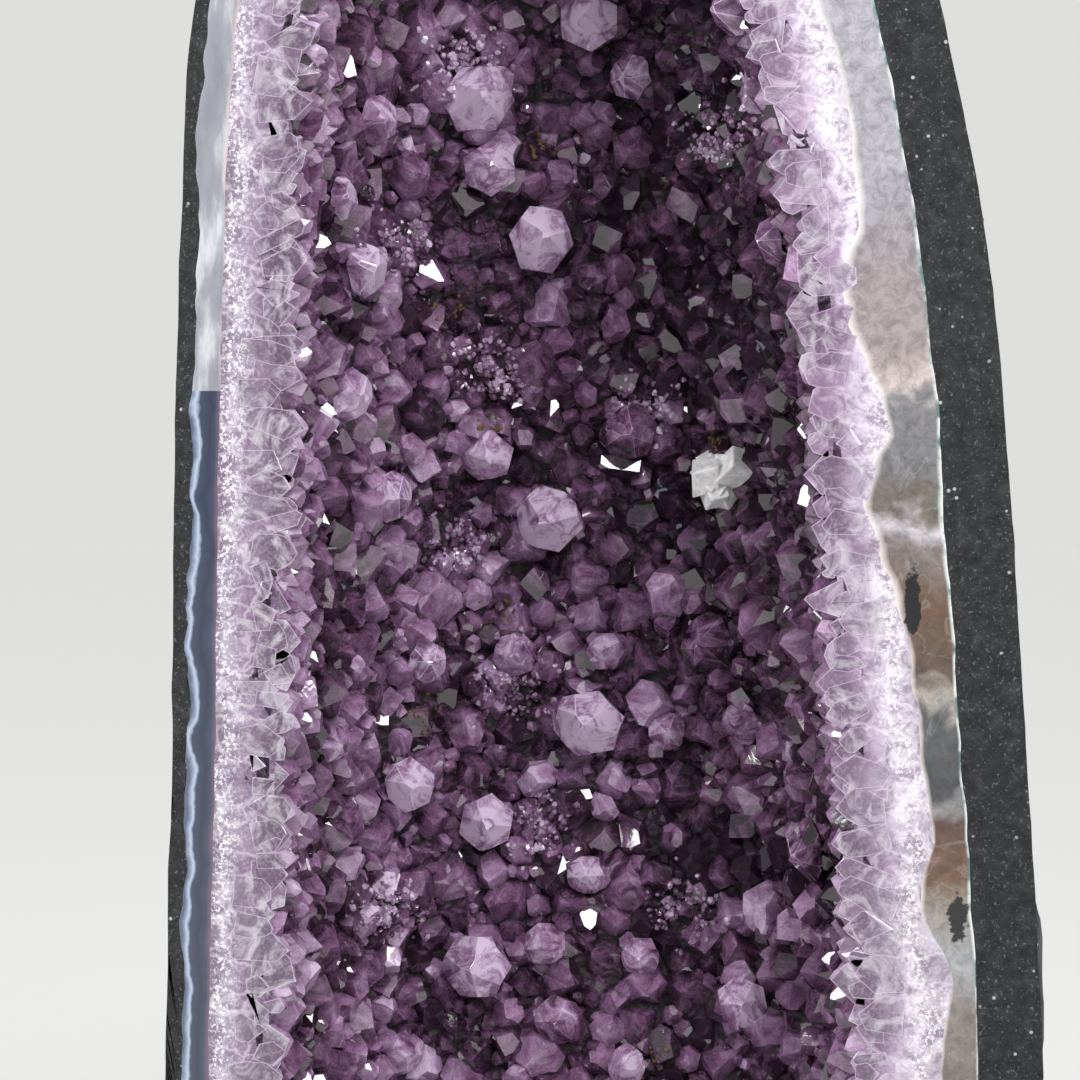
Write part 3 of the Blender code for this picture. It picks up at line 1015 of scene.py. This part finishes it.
# %% Agate on the right
ZONES = (
    # how far up the right side, from 100 mm to 320 mm, and the agate's colour there
    (0.00, (0.19, 0.17, 0.16)), (0.10, (0.27, 0.24, 0.22)), (0.14, (0.38, 0.40, 0.42)),
    (0.19, (0.33, 0.31, 0.27)), (0.22, (0.18, 0.10, 0.06)), (0.30, (0.12, 0.065, 0.055)),
    (0.315, 0.30), (0.33, (0.070, 0.073, 0.080)), (0.40, (0.11, 0.115, 0.12)),
    (0.415, (0.45, 0.42, 0.38)), (0.43, (0.13, 0.095, 0.075)), (0.52, (0.17, 0.105, 0.070)),
    (0.58, (0.25, 0.22, 0.21)), (0.60, (0.66, 0.63, 0.68)), (0.62, (0.19, 0.165, 0.14)),
    (0.67, (0.21, 0.21, 0.225)), (0.74, (0.25, 0.25, 0.265)), (0.755, (0.64, 0.56, 0.53)),
    (0.79, (0.40, 0.345, 0.345)), (0.88, (0.365, 0.325, 0.34)), (0.92, (0.36, 0.345, 0.37)),
    (1.0, (0.46, 0.45, 0.50)),
)
fold = agate.noise(60, detail=3, rough=0.6, distortion=0.4)
up = agate.add("MapRange", axes[2], 0.100, 0.320, -0.055, 0.945)
up = agate.math("ADD", up, agate.math("MULTIPLY", fold, 0.11))
lobes = agate.ramp(up, *ZONES)
mottle = agate.noise(330, detail=6, rough=0.75, distortion=0.6)
mottled = agate.ramp(mottle, (0.36, 0.75), (0.60, 0))
lobes = agate.mix(mottled, lobes, (0.45, 0.45, 0.46), "MULTIPLY")
lobes = agate.mix(1.0, lobes, (0.82, 0.80, 0.80), "MULTIPLY")
threads = agate.noise(60, detail=4, rough=0.55, distortion=0.8)
threads = agate.ramp(threads, (0.485, 0), (0.50, 0.10), (0.515, 0))
lobes = agate.mix(threads, lobes, (0.72, 0.70, 0.70))
lobes = agate.mix(agate.ramp(steady, (0.80, 0), (0.96, 1)), lobes, (0.80, 0.74, 0.72))
skin = agate.noise(180, detail=3)
skin = agate.ramp(skin, (0.42, (0.06, 0.16, 0.16)), (0.55, (0.62, 0.66, 0.64)))
lobes = agate.mix(agate.ramp(band, (0.05, 1), (0.11, 0)), lobes, skin)
on_right = agate.math("MULTIPLY_ADD", axes[0], 30, 0.5, clamp=True)
colour = agate.mix(on_right, left, lobes)
print("agate on both sides:", len(agate.tree.nodes), "nodes")

# %% Voids in the agate
VOIDS = (
    # middle across and up, and how far each reaches across and up, in mm
    (79.0, 214.3, 2.0, 8.5), (89.8, 140.5, 2.6, 6.0), (100.5, 102.4, 3.6, 4.0),
)
# The voids are holes that the shape doesn't have: their near-black colour is painted shade.
VOID_PAINTED_SHADE = (0.006, 0.006, 0.008)
ragged = agate.math("MULTIPLY_ADD", agate.noise(420, detail=5, rough=0.7), 3.4, -1.7)
for x, z, wide, tall in VOIDS:
    across_it, along_it = (
        agate.math("DIVIDE", agate.math("SUBTRACT", axis, middle * MM), reach * MM)
        for axis, middle, reach in ((axes[0], x, wide), (axes[2], z, tall))
    )
    far = agate.math("POWER", across_it, 2)
    far = agate.math("ADD", far, agate.math("POWER", along_it, 2))
    inside = agate.math("MULTIPLY_ADD", agate.math("ADD", far, ragged), -4, 4, clamp=True)
    colour = agate.mix(inside, colour, VOID_PAINTED_SHADE)
agate.set("Base Color", colour)
agate.set("Normal", agate.bump(agate.noise(500, detail=3), 0.1 * MM, 0.3))
print("voids:", len(VOIDS))

# %% [markdown]
# ## The basalt rind
#
# The rind is a shell of dark lava, sawn flat in front and underneath and left rough everywhere else. Its
# back was chipped from the rock, which leaves shallow scoops that meet in ridges. The distance to the
# nearest of many scattered points has that very shape, so we push the surface by it at three sizes, and
# keep how deep each scoop is for the finish, because brown dust settles in the hollows.

# %% Basalt shape
basalt = layers["basalt"]
basalt.normal_update()
hollow = basalt.verts.layers.float.new("hollow")


def scoop(place, size):
    """Depth of a chipped surface: low in the middle of a scoop, high along the ridges between."""
    return noise.voronoi(place / (size * MM))[0][0] - 0.5


for vert in basalt.verts:
    place = vert.co + Vector((wander(vert.co, 20 * MM, 34), wander(vert.co, 20 * MM, 35), 0)) * 4 * MM
    in_front = vert.co.y < FACE_Y + 0.1 * MM
    depth = scoop(place, 38) * 9.0 + scoop(place, 15) * 4.5 + scoop(place, 6) * 1.5 - 1.6
    away_from_front = min(1.0, (vert.co.y - FACE_Y) / (14 * MM) + 0.12)
    away_from_base = min(1.0, vert.co.z / (3 * MM))
    room = near_agate.find_nearest(vert.co)[3]
    outside = min(1.0, max(0.0, room - 1.2 * MM) / (2 * MM))
    push = max(depth * MM * away_from_front * away_from_base * outside, -max(0.0, room - 1.4 * MM))
    if in_front:
        push = min(0.6 * MM, max(-0.6 * MM, push))
    flat = Vector((vert.normal.x, 0 if in_front else vert.normal.y, vert.normal.z))
    vert[hollow] = 0.5 if in_front else 0.5 - depth / 4
    vert.co += flat * push
    vert.co = Vector(min(max(c, a), b) for c, a, b in zip(vert.co, *solid_box))
basalt.normal_update()
print("basalt chipped:", len(basalt.verts), "points")

# %% Basalt finish
lava = Finish("basalt", roughness=0.75, Specular_IOR_Level=0.3)
stone = lava.noise(260, detail=8, rough=0.75)
coarse = lava.noise(28, detail=5, rough=0.65, distortion=0.5)
colour = lava.ramp(
    stone, (0.32, (0.007, 0.007, 0.008)), (0.52, (0.021, 0.022, 0.025)), (0.72, (0.052, 0.054, 0.058)))
in_hollow = lava.math("MULTIPLY_ADD", lava.attribute("hollow"), 1.6, -1.0, clamp=True)
browner = lava.ramp(coarse, (0.40, 0), (0.60, 1))
dusty = lava.mix(browner, (0.060, 0.062, 0.058), (0.085, 0.062, 0.042))
colour = lava.mix(lava.math("MULTIPLY", in_hollow, 0.8), colour, dusty)
green = lava.ramp(coarse, (0.60, 0), (0.72, 0.5))
colour = lava.mix(green, colour, (0.040, 0.058, 0.050))
worn = lava.math("MULTIPLY_ADD", lava.attribute("hollow"), -2.2, 0.8, clamp=True)
colour = lava.mix(worn, colour, (0.105, 0.107, 0.108))
specks = lava.add("TexVoronoi", lava.place(), None, 330)
lit = lava.noise(120, detail=1)
specks, lit = lava.ramp(specks, (0.10, 1), (0.17, 0)), lava.ramp(lit, (0.54, 0), (0.58, 1))
specks = lava.math("MULTIPLY", specks, lit)
colour = lava.mix(specks, colour, (0.42, 0.43, 0.42))
# Fine grey flecks painted into the colour as the rock's sparkle: painted glints.
painted_glitter = lava.noise(1100, detail=2, rough=0.8)
painted_glitter = lava.ramp(painted_glitter, (0.60, 0), (0.68, 0.55))
colour = lava.mix(painted_glitter, colour, (0.17, 0.175, 0.18))
lava.set("Base Color", colour)
pits = lava.add("TexVoronoi", lava.place(), None, 420)
pits = lava.ramp(pits, (0.12, 0), (0.26, 1))
pitted = lava.bump(pits, 0.5 * MM, 0.5)
lava.set("Normal", lava.bump(stone, 1.2 * MM, 1.0, under=pitted))
print("basalt finish:", len(lava.tree.nodes), "nodes")

# %% [markdown]
# ## Put the layers in
#
# Each layer stands for its solid, which stays hidden for weight and touch.

# %% Layers in place
for name, kind, node, finish in (
    ("basalt_shell", "basalt", "basalt_rind", lava),
    ("agate_layer", "agate", "agate_band", agate),
    ("quartz_layer", "quartz", "quartz_band", milky),
):
    piece = object_from(name, layers[kind], finish)
    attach(piece, "root")
    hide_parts(node)
    if kind == "basalt":
        piece.data.shade_smooth()
        piece.data.set_sharp_from_angle(angle=math.radians(40))
        for face in piece.data.polygons:
            if face.normal.y < -0.99:
                face.use_smooth = False
    print(name, len(piece.data.polygons), "faces")

# %% [markdown]
# ## The calcite
#
# One white lump of calcite grew last. Calcite splits into leaning blocks, so the lump is a heap of them,
# grown into each other, with its edges rubbed round. Carving one block would leave it too regular.

# %% Calcite
BLOCKS = 11
draw = random.Random(78)
low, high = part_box("calcite_crystal")
middle = (low + high) / 2 + OUT * 1.5 * MM
calcite = bmesh.new()
for _ in range(BLOCKS):
    block = bmesh.ops.create_cube(calcite, size=1)["verts"]
    lean = Matrix.Shear("XY", 4, (0.28, 0.0)) @ Matrix.Scale(draw.uniform(4.5, 8) * MM, 4)
    angle, about = draw.uniform(0, math.tau), Vector([draw.gauss(0, 1) for _ in range(3)])
    offset = Vector((draw.uniform(-4.2, 4.2), draw.uniform(-2.5, 2.5), draw.uniform(-5, 5))) * MM
    bmesh.ops.transform(calcite, verts=block, matrix=(
        Matrix.Translation(middle + offset) @ Matrix.Rotation(angle, 4, about) @ lean))
bmesh.ops.bevel(
    calcite, geom=calcite.edges[:], offset=0.5 * MM, offset_type="OFFSET", affect="EDGES", segments=2,
    profile=0.5, material=-1, clamp_overlap=True,
)
bmesh.ops.recalc_face_normals(calcite, faces=calcite.faces)
print("calcite:", len(calcite.faces), "faces")

# %% Calcite finish and place
chalky = Finish("calcite", roughness=0.35, Subsurface_Weight=0.2)
chalky.shader.inputs["Subsurface Radius"].default_value = (1, 1, 1)
chalky.shader.inputs["Subsurface Scale"].default_value = 2 * MM
chalk = chalky.noise(500, detail=4, rough=0.7)
chalky.set("Base Color", chalky.ramp(chalk, (0.35, 0.62), (0.6, (0.92, 0.92, 0.91))))
chalky.set("Normal", chalky.bump(chalk, 0.5 * MM, 0.8))
piece = object_from("calcite_lump", calcite, chalky)
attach(piece, "root")
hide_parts("calcite_crystal")
print("calcite in place")

# %% [markdown]
# ## Finish
#
# The stone must stay the size it was measured. The last cell prints that measured size.

# %% The measured size
print("solids:", [tuple(round(v, 4) for v in c) for c in solid_box])
